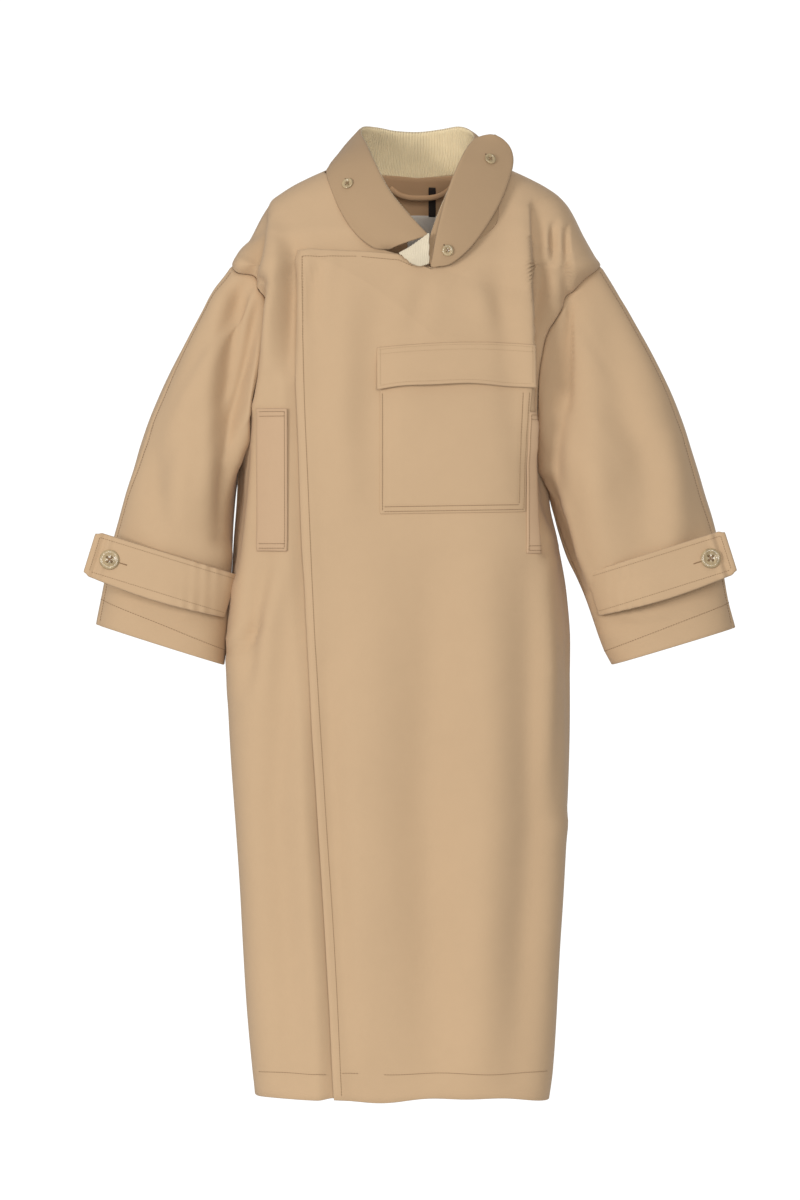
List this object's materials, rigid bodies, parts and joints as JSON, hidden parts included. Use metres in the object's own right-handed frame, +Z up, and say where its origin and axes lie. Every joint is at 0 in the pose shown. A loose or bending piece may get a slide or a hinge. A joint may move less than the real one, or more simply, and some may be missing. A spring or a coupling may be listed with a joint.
{
  "type": "turnout coat",
  "caption": "Long wrap-front cotton overcoat cut like a turnout coat, with a corduroy-lined collar, flapped chest pocket and cuff tabs that open.",
  "frame": {"origin": "middle of the neck opening, where a clothes hanger's hook rises out of the coat", "axes": "+Z up along the hanging coat, -Y out of the coat's front, +X towards the wearer's left"},
  "size_m": [0.8278, 0.2412, 1.27],
  "materials": {
    "cotton_gabardine": "matt, fine diagonal twill",
    "inner_cloth": "matt, reverse of the twill",
    "corduroy": "ribbed cotton pile",
    "horn": "mottled horn effect, half gloss",
    "thread": "twisted sewing thread",
    "woven_label": "plain woven satin ribbon",
    "black_tape": "plain woven tape"
  },
  "bodies": {
    "coat_shell": {"back_panel_left": "cotton_gabardine", "back_panel_right": "cotton_gabardine", "back_vent_underlap": "inner_cloth", "back_neck_facing": "inner_cloth", "front_panel_left": "cotton_gabardine", "front_panel_right": "cotton_gabardine", "front_facing_left": "inner_cloth", "front_facing_right": "inner_cloth", "hem_turnup_left": "inner_cloth", "hem_turnup_right": "inner_cloth", "hem_turnup_back": "inner_cloth", "fly_buttons": "horn", "fly_button_threads": "thread", "collar_right": "cotton_gabardine", "collar_back": "cotton_gabardine", "collar_left": "cotton_gabardine", "collar_corduroy": "corduroy", "collar_button": "horn", "collar_button_thread": "thread", "neck_label": "woven_label", "size_tape": "black_tape", "chest_pocket": "cotton_gabardine", "welt_left": "cotton_gabardine", "welt_right": "cotton_gabardine", "pocket_bag_left": "inner_cloth", "pocket_bag_right": "inner_cloth"},
    "front_wrap": {"placket_flap": "cotton_gabardine", "placket_fly_strip": "inner_cloth"},
    "chest_flap": {"pocket_flap": "cotton_gabardine"},
    "collar_tab": {"throat_tab": "cotton_gabardine", "throat_tab_buttons": "horn", "throat_tab_threads": "thread"},
    "hanging_loop": {"hang_loop": "cotton_gabardine"},
    "sleeve_left": {"sleeve_front_left": "cotton_gabardine", "sleeve_back_left": "cotton_gabardine", "sleeve_hem_left": "inner_cloth", "cuff_tab_root_left": "cotton_gabardine"},
    "tab_left": {"cuff_tab_left": "cotton_gabardine", "cuff_button_left": "horn", "cuff_button_thread_left": "thread"},
    "sleeve_right": {"sleeve_front_right": "cotton_gabardine", "sleeve_back_right": "cotton_gabardine", "sleeve_hem_right": "inner_cloth", "cuff_tab_root_right": "cotton_gabardine"},
    "tab_right": {"cuff_tab_right": "cotton_gabardine", "cuff_button_right": "horn", "cuff_button_thread_right": "thread"}
  },
  "joints": [
    {"name": "wrap_opens", "type": "hinge", "parent": "coat_shell", "child": "front_wrap", "pos_m": [-0.06, -0.1135, -0.097], "axis": [0, -0.024, 0.9997], "range_deg": [0, 85]},
    {"name": "chest_flap_lifts", "type": "hinge", "parent": "coat_shell", "child": "chest_flap", "pos_m": [0.048, -0.1278, -0.202], "axis": [-1, 0, 0], "range_deg": [0, 150]},
    {"name": "throat_tab_swings", "type": "hinge", "parent": "coat_shell", "child": "collar_tab", "pos_m": [0.023, -0.1266, -0.0975], "axis": [0.6097, 0, -0.7926], "range_deg": [0, 120]},
    {"name": "hang_loop_lifts", "type": "hinge", "parent": "coat_shell", "child": "hanging_loop", "pos_m": [0.004, 0.0479, 0.011], "axis": [-1, 0, 0], "range_deg": [0, 120]},
    {"name": "sleeve_left_swings", "type": "hinge", "parent": "coat_shell", "child": "sleeve_left", "pos_m": [0.2396, 0, -0.097], "axis": [0, -1, 0], "range_deg": [0, 60]},
    {"name": "cuff_tab_left_opens", "type": "hinge", "parent": "sleeve_left", "child": "tab_left", "pos_m": [0.26506, -0.0654, -0.51324], "axis": [0.2924, 0, -0.9563], "range_deg": [0, 100]},
    {"name": "sleeve_right_swings", "type": "hinge", "parent": "coat_shell", "child": "sleeve_right", "pos_m": [-0.2404, 0, -0.097], "axis": [0, 1, 0], "range_deg": [0, 60]},
    {"name": "cuff_tab_right_opens", "type": "hinge", "parent": "sleeve_right", "child": "tab_right", "pos_m": [-0.26506, -0.0654, -0.51324], "axis": [0.2924, 0, 0.9563], "range_deg": [0, 100]}
  ]
}
